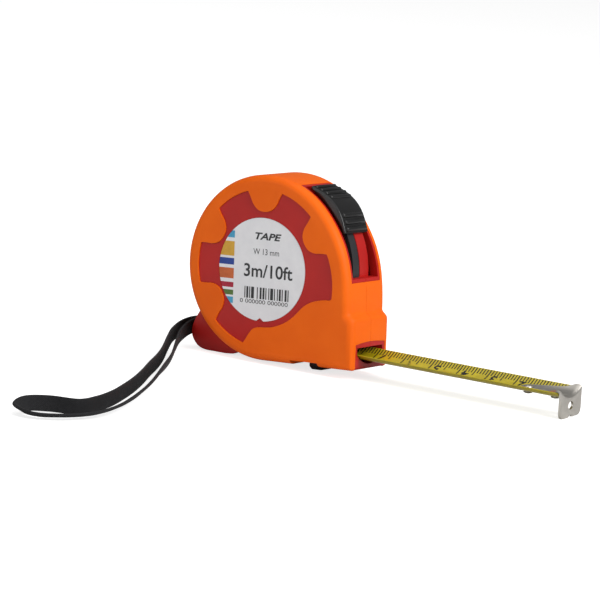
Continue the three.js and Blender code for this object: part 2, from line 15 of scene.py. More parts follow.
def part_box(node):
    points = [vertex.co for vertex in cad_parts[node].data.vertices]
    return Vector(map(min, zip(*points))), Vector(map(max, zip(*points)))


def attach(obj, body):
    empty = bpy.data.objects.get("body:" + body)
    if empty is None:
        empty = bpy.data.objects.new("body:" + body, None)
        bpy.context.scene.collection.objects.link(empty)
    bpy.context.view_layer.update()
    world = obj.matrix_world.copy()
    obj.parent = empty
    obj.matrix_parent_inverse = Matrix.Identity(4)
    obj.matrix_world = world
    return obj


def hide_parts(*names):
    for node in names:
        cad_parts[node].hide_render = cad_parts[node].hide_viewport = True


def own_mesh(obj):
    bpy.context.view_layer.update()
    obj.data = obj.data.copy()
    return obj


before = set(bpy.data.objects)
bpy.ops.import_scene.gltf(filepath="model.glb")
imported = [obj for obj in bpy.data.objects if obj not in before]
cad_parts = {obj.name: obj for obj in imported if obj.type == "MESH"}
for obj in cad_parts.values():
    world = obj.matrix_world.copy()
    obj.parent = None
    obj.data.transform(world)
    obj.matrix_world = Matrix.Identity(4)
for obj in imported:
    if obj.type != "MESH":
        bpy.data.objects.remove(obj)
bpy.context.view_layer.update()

# %% [markdown]
# The case leans nose-up by 3.5 degrees and the tape runs level, rolled a little in its loose
# mouth. So there are three places to model in: the case's own axes, the tape's, and the level
# ones of the surface. All three start at the middle of the case's front bottom edge, which is
# worked out from the round label, whose centre is the centre of the case.

# %% Places to model in
CASE_TILT = math.radians(3.5)
TAPE_ROLL = math.radians(3.5)
BODY_R = 28.8
BODY_X = -33.5
BODY_Z = 28.8
HALF = 10.85
TAPE_Z = 5.2

label_low, label_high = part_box("left_label")
lean = Matrix.Rotation(-CASE_TILT, 4, "Y")
body_centre = Vector([(label_low[0] + label_high[0]) / 2, 0, (label_low[2] + label_high[2]) / 2])
front_edge = body_centre - lean @ Vector((BODY_X, 0, BODY_Z)) * 0.001
LEVEL = Matrix.Translation(front_edge) @ Matrix.Scale(0.001, 4)
CASE = LEVEL @ lean
TAPE = LEVEL @ Matrix.Translation(
    (0, TAPE_Z * math.sin(TAPE_ROLL), TAPE_Z * (1 - math.cos(TAPE_ROLL)))
) @ Matrix.Rotation(TAPE_ROLL, 4, "X")
print("front bottom edge of the case at", [round(v * 1000, 2) for v in front_edge], "mm")

# %% [markdown]
# The camera is a long lens a little over a metre away, so the tape hardly tapers. It is aimed by
# its own axes: back, up and right, turned by a small roll, because the tape measure leans to the
# right in the picture. It stands before the object is made, so that the strap can be tested.

# %% Camera
CAMERA_AT = Vector((0.57351, -0.91881, 0.18433))
CAMERA_AIM = Vector((-0.02475, -0.00961, 0.02202))
CAMERA_ROLL = math.radians(4.87)
camera_data = bpy.data.cameras.new("studio_camera")
camera_data.lens = 215.2
camera_data.sensor_width = 36
camera_data.clip_start = 0.05
camera_data.clip_end = 50
camera = bpy.data.objects.new("studio_camera", camera_data)
bpy.context.scene.collection.objects.link(camera)
back = (CAMERA_AT - CAMERA_AIM).normalized()
right = Vector((0, 0, 1)).cross(back).normalized()
up = back.cross(right)
leant_right = right * math.cos(CAMERA_ROLL) + up * math.sin(CAMERA_ROLL)
leant_up = up * math.cos(CAMERA_ROLL) - right * math.sin(CAMERA_ROLL)
turn = Matrix((leant_right, leant_up, back)).transposed().to_4x4()
camera.matrix_world = Matrix.Translation(CAMERA_AT) @ turn
bpy.context.scene.camera = camera
print("camera", round((CAMERA_AT - CAMERA_AIM).length, 3), "m from what it looks at")

# %% [markdown]
# Materials come next. Colours are written as the hex values seen on a screen and turned to the
# linear values that the shader needs in one function. One more function adds a node, sets its
# sockets and links it, so each material reads as a short list of what is on the real surface.

# %% Colour and node helpers
def linear(hex_value):
    channels = [int(hex_value[i:i + 2], 16) / 255 for i in (0, 2, 4)]
    return tuple(c / 12.92 if c <= 0.04045 else ((c + 0.055) / 1.055) ** 2.4 for c in channels) + (1.0,)


def add_node(material, kind, values=None, links=None, **settings):
    tree = material.node_tree
    node = tree.nodes.new(kind)
    for key, value in settings.items():
        setattr(node, key, value)
    for key, value in (values or {}).items():
        node.inputs[key].default_value = value
    for key, source in (links or {}).items():
        tree.links.new(source, node.inputs[key])
    return node


def new_material(name, finish):
    material = bpy.data.materials.new(name)
    material.use_nodes = True
    shader = material.node_tree.nodes["Principled BSDF"]
    for key, value in finish.items():
        shader.inputs[key].default_value = value
    return material, shader


def link(material, source, target):
    material.node_tree.links.new(source, target)


def ramp_colours(node, stops):
    ramp = node.color_ramp
    while len(ramp.elements) < len(stops):
        ramp.elements.new(0.5)
    for element, (place, colour) in zip(ramp.elements, stops):
        element.position = place
        element.color = colour


# %% [markdown]
# Most of the pieces are moulded: a fine spark-eroded grain from the mould, a slow change of shade
# where the melt flowed, and a few rubbed patches that are a little smoother. One function makes
# that for both plastics and the rubber, with the grain's size in millimetres. Grain finer than
# the render can show is drawn at a quarter of a millimetre or more.

# %% Moulded plastics and rubber
def moulded(name, light, dark, rough, grain_mm, grain_height, rub, finish):
    material, shader = new_material(name, finish)
    place = add_node(material, "ShaderNodeTexCoord").outputs["Object"]
    flow = add_node(
        material, "ShaderNodeTexNoise", {"Scale": 1000 / 14, "Detail": 3.0, "Roughness": 0.5},
        {"Vector": place})
    shade = add_node(material, "ShaderNodeValToRGB", links={"Fac": flow.outputs["Fac"]})
    ramp_colours(shade, [(0.3, linear(dark)), (0.7, linear(light))])
    rubbed = add_node(
        material, "ShaderNodeTexNoise", {"Scale": 1000 / 5, "Detail": 6.0, "Roughness": 0.65},
        {"Vector": place})
    roughness = add_node(
        material, "ShaderNodeMapRange",
        {"From Min": 0.3, "From Max": 0.7, "To Min": rough - rub, "To Max": rough + rub},
        {"Value": rubbed.outputs["Fac"]})
    grain = add_node(
        material, "ShaderNodeTexNoise", {"Scale": 1000 / grain_mm, "Detail": 4.0, "Roughness": 0.6},
        {"Vector": place})
    bump = add_node(
        material, "ShaderNodeBump", {"Strength": grain_height, "Distance": 0.00005},
        {"Height": grain.outputs["Fac"]})
    link(material, shade.outputs["Color"], shader.inputs["Base Color"])
    link(material, roughness.outputs["Result"], shader.inputs["Roughness"])
    link(material, bump.outputs["Normal"], shader.inputs["Normal"])
    return material


# soft thermoplastic rubber, matt and a little velvety
orange_rubber = moulded(
    "orange_thermoplastic_rubber", "f86c0a", "f06406", 0.52, 0.5, 0.35, 0.06,
    {"IOR": 1.5, "Specular IOR Level": 0.18})
# satin ABS of the case halves, glossier than the rubber
red_abs = moulded(
    "red_satin_abs", "bd1a15", "b01612", 0.4, 0.4, 0.2, 0.05, {"IOR": 1.53, "Specular IOR Level": 0.35})
# black ABS of the slider and the button
black_abs = moulded(
    "black_satin_abs", "0f0f10", "0a0a0b", 0.36, 0.4, 0.3, 0.06, {"IOR": 1.53})
# dark grey acetal of the lock tongue, which has to slide
grey_acetal = moulded(
    "grey_acetal", "2e2e31", "242427", 0.42, 0.5, 0.2, 0.05, {"IOR": 1.48})
print("moulded materials ready")


# %% [markdown]
# The metals differ by how they were finished. The hook is stamped sheet with a tumbled nickel
# plating, so it is satin with faint random scratches. The screws are zinc plated, and the two
# springs inside are blued strip. A metal keeps the default IOR, and its colour is its reflection.

# %% Metals
def plated(name, light, dark, rough, scratch_mm, scratch_height):
    material, shader = new_material(name, {"Metallic": 1.0})
    place = add_node(material, "ShaderNodeTexCoord").outputs["Object"]
    stretch = add_node(
        material, "ShaderNodeMapping", {"Scale": (1.0, 1.0, 0.22)}, {"Vector": place})
    cloud = add_node(
        material, "ShaderNodeTexNoise", {"Scale": 1000 / 3, "Detail": 4.0, "Roughness": 0.55},
        {"Vector": place})
    shade = add_node(material, "ShaderNodeValToRGB", links={"Fac": cloud.outputs["Fac"]})
    ramp_colours(shade, [(0.3, linear(dark)), (0.7, linear(light))])
    scratches = add_node(
        material, "ShaderNodeTexNoise",
        {"Scale": 1000 / scratch_mm, "Detail": 5.0, "Roughness": 0.7},
        {"Vector": stretch.outputs["Vector"]})
    roughness = add_node(
        material, "ShaderNodeMapRange",
        {"From Min": 0.3, "From Max": 0.7, "To Min": rough - 0.06, "To Max": rough + 0.08},
        {"Value": scratches.outputs["Fac"]})
    bump = add_node(
        material, "ShaderNodeBump", {"Strength": scratch_height, "Distance": 0.00003},
        {"Height": scratches.outputs["Fac"]})
    link(material, shade.outputs["Color"], shader.inputs["Base Color"])
    link(material, roughness.outputs["Result"], shader.inputs["Roughness"])
    link(material, bump.outputs["Normal"], shader.inputs["Normal"])
    return material


nickel_steel = plated("tumbled_nickel_plated_steel", "d6d2ca", "c6c1b9", 0.34, 0.6, 0.3)
zinc_steel = plated("zinc_plated_steel", "b9bcbd", "9fa2a4", 0.3, 0.5, 0.3)
blued_steel = plated("blued_spring_steel", "5a5f68", "474b54", 0.32, 0.4, 0.2)


# %% [markdown]
# The tape itself is spring steel under yellow enamel, with a thin clear coat that gives it its
# wet shine. Its print is ink under that coat. The inks are plain, only slightly uneven, so they
# share one function with the coloured stripes of the label.

# %% Enamel, film and inks
def printed(name, light, dark, rough, finish, cloud_mm=2.5):
    material, shader = new_material(name, {"Roughness": rough, **finish})
    place = add_node(material, "ShaderNodeTexCoord").outputs["Object"]
    cloud = add_node(
        material, "ShaderNodeTexNoise", {"Scale": 1000 / cloud_mm, "Detail": 4.0, "Roughness": 0.6},
        {"Vector": place})
    shade = add_node(material, "ShaderNodeValToRGB", links={"Fac": cloud.outputs["Fac"]})
    ramp_colours(shade, [(0.32, linear(dark)), (0.68, linear(light))])
    bump = add_node(
        material, "ShaderNodeBump", {"Strength": 0.12, "Distance": 0.00003},
        {"Height": cloud.outputs["Fac"]})
    link(material, shade.outputs["Color"], shader.inputs["Base Color"])
    link(material, bump.outputs["Normal"], shader.inputs["Normal"])
    return material


yellow_enamel = printed(
    "yellow_enamelled_steel", "c4b31c", "b4a314", 0.34,
    {"Coat Weight": 0.5, "Coat Roughness": 0.12, "IOR": 1.5}, 6.0)
label_film = printed("white_label_film", "efeff1", "e7e7ea", 0.42, {"IOR": 1.46}, 5.0)
black_ink = printed("black_printing_ink", "1c1a16", "12110f", 0.4, {"IOR": 1.5})
grey_ink = printed("dark_grey_printing_ink", "333336", "28282b", 0.45, {"IOR": 1.5})
red_ink = printed("red_printing_ink", "c8452c", "b83a22", 0.4, {"IOR": 1.5})
STRIPE_HEX = {
    "sky": ("4fa9cf", "4199c2"), "yellow": ("dba93a", "cc9a30"), "navy": ("27479b", "1f3d8c"),
    "orange": ("d06a34", "c05f2c"), "crimson": ("b3203c", "a31a34"), "green": ("5c7a38", "4f6c30"),
}
stripe_inks = {
    name: printed(name + "_stripe_ink", light, dark, 0.42, {"IOR": 1.46}, 1.6)
    for name, (light, dark) in STRIPE_HEX.items()
}
print("inks:", ", ".join(stripe_inks))

# %% [markdown]
# The strap is woven polyamide webbing. Its threads are a fifth of a millimetre apart, too fine to
# show from a metre away, so the weave is drawn at a little over half a millimetre. It follows
# the strap, so it reads the strap's own UV map, in millimetres along and across the band. Its
# colour is painted shade in the grooves between the threads and painted highlight on their crowns.

# %% Webbing
webbing, webbing_shader = new_material(
    "black_polyamide_webbing",
    {"Roughness": 0.7, "Sheen Weight": 0.04, "Sheen Roughness": 0.45, "Specular IOR Level": 0.3})
THREAD_MM = 0.62
band = add_node(webbing, "ShaderNodeUVMap", uv_map="along_the_band").outputs["UV"]
diagonal = add_node(
    webbing, "ShaderNodeMapping",
    {"Scale": (1 / THREAD_MM, 1 / THREAD_MM, 1.0), "Rotation": (0, 0, math.radians(45))},
    {"Vector": band})
weft = add_node(
    webbing, "ShaderNodeTexWave", {"Scale": 0.5, "Distortion": 0.6, "Detail": 1.0},
    {"Vector": diagonal.outputs["Vector"]}, bands_direction="X")
warp = add_node(
    webbing, "ShaderNodeTexWave", {"Scale": 0.5, "Distortion": 0.6, "Detail": 1.0},
    {"Vector": diagonal.outputs["Vector"]}, bands_direction="Y")
woven = add_node(
    webbing, "ShaderNodeMath", links={0: weft.outputs["Fac"], 1: warp.outputs["Fac"]},
    operation="MAXIMUM")
# the weave's colour is painted shade in the grooves between threads and painted highlight on their crowns
weave_painted_shade = add_node(webbing, "ShaderNodeValToRGB", links={"Fac": woven.outputs["Value"]})
ramp_colours(weave_painted_shade, [(0.2, linear("060607")), (0.9, linear("1b1b1e"))])
woven_bump = add_node(
    webbing, "ShaderNodeBump", {"Strength": 0.7, "Distance": 0.00015},
    {"Height": woven.outputs["Value"]})
link(webbing, weave_painted_shade.outputs["Color"], webbing_shader.inputs["Base Color"])
link(webbing, woven_bump.outputs["Normal"], webbing_shader.inputs["Normal"])
print("webbing drawn at", THREAD_MM, "mm a thread")


# %% [markdown]
# Every new piece ends the same way: it is scaled and turned to its place, its normals face out,
# it becomes an object at the origin, it rides on a body and takes the finishes it is given.
# Curved faces are smooth and edges sharper than an angle stay crisp.

# %% Piece helper
def make_piece(name, mesh_data, place, materials, body, stands_for=(), sharp=38, flip=False):
    bmesh.ops.transform(mesh_data, matrix=place, verts=mesh_data.verts)
    bmesh.ops.remove_doubles(mesh_data, verts=mesh_data.verts, dist=0.000002)
    bmesh.ops.recalc_face_normals(mesh_data, faces=mesh_data.faces)
    mesh = bpy.data.meshes.new(name)
    mesh_data.to_mesh(mesh)
    mesh_data.free()
    mesh.shade_smooth()
    mesh.set_sharp_from_angle(angle=math.radians(sharp))
    piece = bpy.data.objects.new(name, mesh)
    bpy.context.scene.collection.objects.link(piece)
    for material in materials:
        mesh.materials.append(material)
    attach(piece, body)
    if stands_for:
        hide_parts(*stands_for)
    print(name, len(mesh.polygons), "faces, rides on", body)
    return piece


# %% [markdown]
# The wrist strap is one band of flat webbing, folded to two runs that lie on edge, side by side,
# and open into an eye at the far end. It could be a curve with a flat bevel, but then the band
# couldn't lean where the real one does. So its outline is extruded along a smooth path, one
# step at a time, and each step is turned to stand across the path.

# %% Strap route
STRAP_W = 4.6
STRAP_T = 0.9
HALF_GAP = 1.15
BAR_X = -60.2
STRAP_ROUTE = [
    (-3.0, 0, 4.2), (-5.0, -1.0, 3.9), (-6.0, -5.0, 3.0), (-4.6, -12.0, 1.4), (-0.6, -20.0, 0.0),
    (4.8, -29.0, -0.6), (10.6, -38.5, -0.6), (16.5, -49.0, -0.6), (22.7, -61.0, -0.6),
    (29.7, -74.0, -0.6), (36.2, -87.0, -0.6), (41.7, -99.5, -0.6), (46.2, -111.0, -0.6),
    (49.0, -121.5, -0.6), (49.4, -130.5, -0.6),
]
EYE = [
    (47.8, -139.5, -0.6), (43.8, -144.6, -0.6), (37.8, -144.0, -0.6), (36.0, -138.4, -0.6),
    (40.4, -134.0, -0.6),
]


def smooth_path(points, per_span):
    """A centripetal curve through the points, with per_span steps between two of them."""
    pts = [points[0] * 2 - points[1], *points, points[-1] * 2 - points[-2]]
    path = []
    for i in range(1, len(pts) - 2):
        knots = [0.0]
        for a, b in zip(pts[i - 1:i + 2], pts[i:i + 3]):
            knots.append(knots[-1] + math.sqrt((b - a).length))
        t0, t1, t2, t3 = knots
        p0, p1, p2, p3 = pts[i - 1:i + 3]
        for k in range(per_span):
            t = t1 + (t2 - t1) * k / per_span
            a1 = p0 * ((t1 - t) / (t1 - t0)) + p1 * ((t - t0) / (t1 - t0))
            a2 = p1 * ((t2 - t) / (t2 - t1)) + p2 * ((t - t1) / (t2 - t1))
            a3 = p2 * ((t3 - t) / (t3 - t2)) + p3 * ((t - t2) / (t3 - t2))
            b1 = a1 * ((t2 - t) / (t2 - t0)) + a2 * ((t - t0) / (t2 - t0))
            b2 = a2 * ((t3 - t) / (t3 - t1)) + a3 * ((t - t1) / (t3 - t1))
            path.append(b1 * ((t2 - t) / (t2 - t1)) + b2 * ((t - t1) / (t2 - t1)))
    path.append(points[-1].copy())
    return path


LEAN_MOST = 72      # degrees the near run has leant outwards where it reaches the eye
STEPS = 8
middle = [Vector((BAR_X + x, y, z)) for x, y, z in STRAP_ROUTE]
last = len(middle) - 1
run_out, run_back = [], []
for i, point in enumerate(middle):
    ahead = middle[min(i + 1, last)] - middle[max(i - 1, 0)]
    beside = Vector((-ahead.y, ahead.x, 0)).normalized()
    run_out.append(point + beside * HALF_GAP)
    run_back.append(point - beside * HALF_GAP)
eye = [Vector((BAR_X + x, y, z)) for x, y, z in EYE]
standing = [*run_out, *eye, *reversed(run_back)]
leans = [LEAN_MOST * (i / last) ** 1.6 for i in range(last + 1)] + [76, 74, 58, 36, 16, 6]
leans += [0] * (len(standing) - len(leans))
shifts = [1] * (last + 1) + [0.6, 0.1] + [0] * (len(standing) - last - 3)
leant = []
for i, point in enumerate(standing):
    ahead = standing[min(i + 1, len(standing) - 1)] - standing[max(i - 1, 0)]
    beside = Vector((-ahead.y, ahead.x, 0)).normalized()
    tip = math.radians(leans[i])
    sink = STRAP_W / 2 * (1 - math.cos(tip)) - STRAP_T / 2 * math.sin(tip)
    outward = shifts[i] * STRAP_W / 2 * math.sin(tip)
    leant.append(point + beside * outward - Vector((0, 0, sink)))
strap_path = smooth_path(leant, STEPS)

# %% Strap band
strap_mesh = bmesh.new()
SECTION = [
    (-2.3, -0.2), (-2.3, 0.2), (-2.18, 0.38), (-1.95, 0.45), (-1.0, 0.45), (0, 0.45), (1.0, 0.45),
    (1.95, 0.45), (2.18, 0.38), (2.3, 0.2), (2.3, -0.2), (2.18, -0.38), (1.95, -0.45),
    (1.0, -0.45), (0, -0.45), (-1.0, -0.45), (-1.95, -0.45), (-2.18, -0.38),
]


def band_place(i):
    ahead = strap_path[min(i + 1, len(strap_path) - 1)] - strap_path[max(i - 1, 0)]
    ahead.normalize()
    wide = Vector((0, 0, 1)) - ahead * ahead.z
    wide.normalize()
    span, part = min(i // STEPS, len(leans) - 2), i / STEPS - min(i // STEPS, len(leans) - 2)
    lean_here = math.radians(leans[span] * (1 - part) + leans[span + 1] * part)
    wide = Matrix.Rotation(-lean_here, 3, ahead) @ wide
    thick = ahead.cross(wide)
    return Matrix.Translation(strap_path[i]) @ Matrix((wide, thick, ahead)).transposed().to_4x4()


section_verts = [strap_mesh.verts.new((x, y, 0)) for x, y in SECTION]
first_face = strap_mesh.faces.new(section_verts)
ring = list(section_verts)
rings = [ring]
bmesh.ops.transform(strap_mesh, matrix=band_place(0), verts=ring)
edges = list(first_face.edges)
for i in range(1, len(strap_path)):
    grown = bmesh.ops.extrude_edge_only(strap_mesh, edges=edges)["geom"]
    ring = [v for v in grown if isinstance(v, bmesh.types.BMVert)]
    edges = [e for e in grown if isinstance(e, bmesh.types.BMEdge)]
    step = band_place(i) @ band_place(i - 1).inverted()
    bmesh.ops.transform(strap_mesh, matrix=step, verts=ring)
    rings.append(ring)
bmesh.ops.contextual_create(strap_mesh, geom=edges)
along = {}
length_so_far = 0.0
for i, ring in enumerate(rings):
    if i:
        length_so_far += (strap_path[i] - strap_path[i - 1]).length
    for v in ring:
        along[v] = length_so_far
around = {v: x for v, (x, y) in zip(rings[0], SECTION)}
uv = strap_mesh.loops.layers.uv.new("along_the_band")
inverses = [band_place(i).inverted() for i in range(len(strap_path))]
across = {v: (inverses[i] @ v.co).x for i, ring in enumerate(rings) for v in ring}
for face in strap_mesh.faces:
    for loop in face.loops:
        loop[uv].uv = (along[loop.vert], across[loop.vert])
strap = make_piece(
    "wrist_strap_webbing", strap_mesh, LEVEL, [webbing], "root", ["wrist_strap"])

# %% [markdown]
# The case is two mirrored halves, each a red shell under a soft orange skin. Its side outline is
# a circle that runs down a slanting front into a square foot. A function gives that outline for
# any inset, always with the same number of points, so a rounded rim is a few rings of it, each
# extruded from the last one and moved in.

# %% Case outline
RIM = 2.4
SKIN = 1.2
SHELL_IN = 1.5
CAVITY_IN = 2.9
STAR_SINK = 0.45
FOOT_H = 15.6
FOOT_STEP = 1.9


def polar(r, deg):
    a = math.radians(deg)
    return (BODY_X + r * math.cos(a), BODY_Z + r * math.sin(a))


def bezier(a, b, c, d, steps):
    points = []
    for i in range(steps + 1):
        t = i / steps
        w = ((1 - t) ** 3, 3 * t * (1 - t) ** 2, 3 * t * t * (1 - t), t ** 3)
        points.append(tuple(w[0] * a[k] + w[1] * b[k] + w[2] * c[k] + w[3] * d[k] for k in (0, 1)))
    return points


def case_outline(inset):
    body = [polar(BODY_R - inset, 270 - i * 230 / 92) for i in range(93)]
    start, end = body[-1], (-FOOT_STEP - inset, FOOT_H + 3.4)
    reach = 12
    slope = math.radians(40)
    front = bezier(
        start, (start[0] + reach * math.sin(slope), start[1] - reach * math.cos(slope)),
        (end[0] - 0.15, end[1] + 11), end, 18)[1:]
    drop = inset * 0.6
    step = bezier(
        (-FOOT_STEP - inset, FOOT_H + 2.2 - drop), (-FOOT_STEP - inset, FOOT_H + 0.9 - drop),
        (-inset, FOOT_H + 0.9 - drop), (-inset, FOOT_H - 0.9 - drop), 8)
    corner = max(0.9, inset)
    heel = [
        (-corner + (corner - inset) * math.cos(math.radians(a)),
         corner + (corner - inset) * math.sin(math.radians(a)))
        for a in (0, -22.5, -45, -67.5, -90)]
    return body + front + step + heel


def ring_verts(mesh_data, outline, y):
    return [mesh_data.verts.new((x, y, z)) for x, z in outline]


def lofted(rings):
    """A closed solid from (outline, y) rings: the first is a face, the rest are extruded from it."""
    mesh_data = bmesh.new()
    outline, y = rings[0]
    face = mesh_data.faces.new(ring_verts(mesh_data, outline, y))
    loop_verts = list(face.verts)
    bmesh.ops.reverse_faces(mesh_data, faces=[face])
    for outline, y in rings[1:]:
        count = len(loop_verts)
        edges = [mesh_data.edges.get((loop_verts[i], loop_verts[(i + 1) % count])) for i in range(count)]
        grown = bmesh.ops.extrude_edge_only(mesh_data, edges=edges)["geom"]
        new_verts = {v for v in grown if isinstance(v, bmesh.types.BMVert)}
        next_verts = []
        for v, (x, z) in zip(loop_verts, outline):
            twin = next(e.other_vert(v) for e in v.link_edges if e.other_vert(v) in new_verts)
            twin.co = (x, y, z)
            next_verts.append(twin)
        loop_verts = next_verts
    mesh_data.faces.new(loop_verts)
    bmesh.ops.remove_doubles(mesh_data, verts=mesh_data.verts, dist=1e-4)
    bmesh.ops.recalc_face_normals(mesh_data, faces=mesh_data.faces)
    return mesh_data


def slab(outline, y0, y1):
    return lofted([(outline, y0), (outline, y1)])


def block(x0, x1, y0, y1, z0, z1):
    mesh_data = bmesh.new()
    size = Matrix.Diagonal((x1 - x0, y1 - y0, z1 - z0, 1))
    place = Matrix.Translation(((x0 + x1) / 2, (y0 + y1) / 2, (z0 + z1) / 2))
    bmesh.ops.create_cube(mesh_data, size=1, matrix=place @ size)
    return mesh_data


def round_bar(r, y0, y1, at, sides=48):
    return slab([
        (at[0] + r * math.cos(math.tau * i / sides), at[1] + r * math.sin(math.tau * i / sides))
        for i in range(sides)], y0, y1)


# %% [markdown]
# Holes and joined parts are cut with Boolean modifiers. Each is applied at once and its cutter
# deleted, so a finished piece carries no live modifier and no hidden helper.

# %% Boolean helper
def as_object(mesh_data, name):
    mesh = bpy.data.meshes.new(name)
    mesh_data.to_mesh(mesh)
    mesh_data.free()
    helper = bpy.data.objects.new(name, mesh)
    bpy.context.scene.collection.objects.link(helper)
    return helper


def combine(base, steps):
    """base with each (operation, solid) applied in turn."""
    body = as_object(base, "work_body")
    helpers = []
    for operation, solid in steps:
        helper = as_object(solid, "work_cutter")
        modifier = body.modifiers.new("work", "BOOLEAN")
        modifier.operation = operation
        modifier.solver = "EXACT"
        modifier.object = helper
        helpers.append(helper)
    graph = bpy.context.evaluated_depsgraph_get()
    mesh = bpy.data.meshes.new_from_object(body.evaluated_get(graph))
    result = bmesh.new()
    result.from_mesh(mesh)
    bpy.data.meshes.remove(mesh)
    for helper in [body, *helpers]:
        bpy.data.meshes.remove(helper.data)
    return result


def soften(piece, width_mm, segments=2, angle=50):
    bevel = piece.modifiers.new("edge_rounding", "BEVEL")
    bevel.width = width_mm / 1000
    bevel.segments = segments
    bevel.limit_method = "ANGLE"
    bevel.angle_limit = math.radians(angle)
    bevel.harden_normals = False
    return piece


# %% [markdown]
# The red star round the label has five arms. Bowls of the orange skin reach in between them, and
# one long scoop runs under the label. Its outline is made of arcs for the arms' outer edges and
# of a smooth curve for each bowl.

# %% Star outline
BOWL = [(-6.3, 23.3), (-5.3, 21.6), (-4.2, 19.5), (-2.4, 17.9), (0, 17.4)]


def star_outline(grow):
    half_bowl = [Vector((u, v, 0)) for u, v in BOWL]
    bowl = smooth_path([*half_bowl, *[Vector((-p.x, p.y, 0)) for p in half_bowl[-2::-1]]], 5)
    points = []
    for arm in (0, 60, 120, 180):
        first = -14.6 if arm else -15.6
        flare = 0 if arm else 2.4
        for i in range(9):
            points.append(polar(24.3 + flare * (1 - i / 8) + grow, arm + first + (14.6 - first) * i / 8))
        for p in bowl:
            across = p.x - math.copysign(grow, p.x)
            points.append(polar(
                math.hypot(across, p.y + grow),
                arm + 30 + math.degrees(math.atan2(across, p.y + grow))))
    for i in range(9):
        points.append(polar(24.6 + grow, 225.6 + (254.5 + grow - 225.6) * i / 8))
    scoop = [(23.2, 255.8), (21.4, 257.4), (19.7, 259.8), (18.7, 263.5), (18.3, 270)]
    scoop += [(18.3, 270 + 8 * i) for i in range(1, 7)]
    scoop += [(18.6, 325), (19.5, 331), (21.2, 336.5), (23.6, 340.5), (26.4, 343.2)]
    path = smooth_path([Vector((r, d, 0)) for r, d in scoop], 3)
    points += [polar(p.x + grow, p.y + (grow if p.y < 300 else -grow)) for p in path]
    return points


print("star outline of", len(star_outline(0)), "points")

# %% [markdown]
# The slot's red lining, the mouth's red frame and the lug for the strap are each one solid. All
# of them are used twice: once to add red to the shell, and once, a little larger, to make room
# in the orange skin.

# %% Linings, mouth and lug
SLOT_HALF = 7.0
SLOT_FROM, SLOT_TO = -2, 65
LINING = 0.9
MOUTH_HALF = 7.1
MOUTH_LOW, MOUTH_HIGH = 1.6, 6.9
SEAM = 0.06
TAPE_W = 12.7
TAPE_CUP = 2.4


def cup_z(y):
    return TAPE_Z - TAPE_CUP * (1 - (2 * y / TAPE_W) ** 2)


def sector(r0, r1, low, high, step=2.5):
    count = max(2, round(abs(high - low) / step))
    angles = [low + (high - low) * i / count for i in range(count + 1)]
    return [polar(r0, a) for a in reversed(angles)] + [polar(r1, a) for a in angles]


def slot_lining(grow):
    more = 2 + grow * 2
    return slab(sector(24.6, 40, SLOT_FROM - more, SLOT_TO + more), -SLOT_HALF - LINING - grow, 1)


def mouth_lining(grow):
    half = MOUTH_HALF + 1.0 + grow
    top = MOUTH_HIGH + 1.0 + grow
    arch = [(-half, -3), (-half, top)]
    arch += [(-half + half * i / 8, top + 0.55 * math.sin(math.pi / 2 * i / 8)) for i in range(1, 9)]
    frame_mesh = bmesh.new()
    face = frame_mesh.faces.new([frame_mesh.verts.new((-5, y, z)) for y, z in [*arch, (1, top + 0.55), (1, -3)]])
    grown = bmesh.ops.extrude_face_region(frame_mesh, geom=[face])["geom"]
    moved = [v for v in grown if isinstance(v, bmesh.types.BMVert)]
    bmesh.ops.translate(frame_mesh, vec=(9, 0, 0), verts=moved)
    bmesh.ops.recalc_face_normals(frame_mesh, faces=frame_mesh.faces)
    return frame_mesh


def mouth_lip():
    """The near half of the mouth's lower lip, hollowed to follow the cup of the tape."""
    ys = [-0.04 - (MOUTH_HALF + 0.16) * i / 12 for i in range(13)]
    outline = [(-0.04, MOUTH_LOW - 0.4), *[(y, cup_z(y) - 1.2) for y in ys], (ys[-1], MOUTH_LOW - 0.4)]
    lip = bmesh.new()
    face = lip.faces.new([lip.verts.new((-3, y, z)) for y, z in outline])
    grown = bmesh.ops.extrude_face_region(lip, geom=[face])["geom"]
    bmesh.ops.translate(
        lip, vec=(2.88, 0, 0), verts=[v for v in grown if isinstance(v, bmesh.types.BMVert)])
    bmesh.ops.recalc_face_normals(lip, faces=lip.faces)
    return lip


LUG = [
    (-20.5, 17.0), (-24.5, 15.4), (-26.6, 13.4), (-28.1, 11.4), (-29.4, 8.9), (-30.1, 6.6), (-29.9, 4.6),
    (-28.9, 2.9), (-27.4, 1.5), (-25.4, 0.75), (-22.0, 0.45), (-12.5, 1.0), (-12.5, 6.0),
]


def lug(grow, y0, y1):
    outline = smooth_path([Vector((x, z, 0)) for x, z in LUG], 4)
    middle = Vector((-22, 8, 0))
    outline = [p + (p - middle).normalized() * grow for p in outline]
    return slab([(BODY_X + p.x, p.y) for p in outline], y0, y1)


# %% [markdown]
# The orange skin is moulded over the shell in soft rubber. Its rim is a quarter round, built from
# seven rings, and the star, the slot, the mouth, the lug and the shallow recess for the brake
# button are cut out of it. A live Bevel modifier gives each cut edge the small radius of a mould.

# %% Orange skins
def rim_rings():
    rings = []
    for i in range(8):
        a = math.pi / 2 * i / 7
        rings.append((case_outline(RIM * (1 - math.sin(a))), -HALF + RIM * (1 - math.cos(a))))
    rings.append((case_outline(0), -0.04))
    return rings


def near_skin():
    return combine(lofted(rim_rings()), [
        ("DIFFERENCE", slab(case_outline(SKIN), -HALF + SKIN, 2)),
        ("DIFFERENCE", slab(star_outline(SEAM), -HALF - 1, -HALF + SKIN + 1)),
        ("DIFFERENCE", slot_lining(SEAM)),
        ("DIFFERENCE", mouth_lining(SEAM)),
        ("DIFFERENCE", lug(SEAM, -5 - SEAM, 1)),
        ("DIFFERENCE", block(-22.5, -12.5, -HALF - 1, 1, -3, 1.3)),
    ])


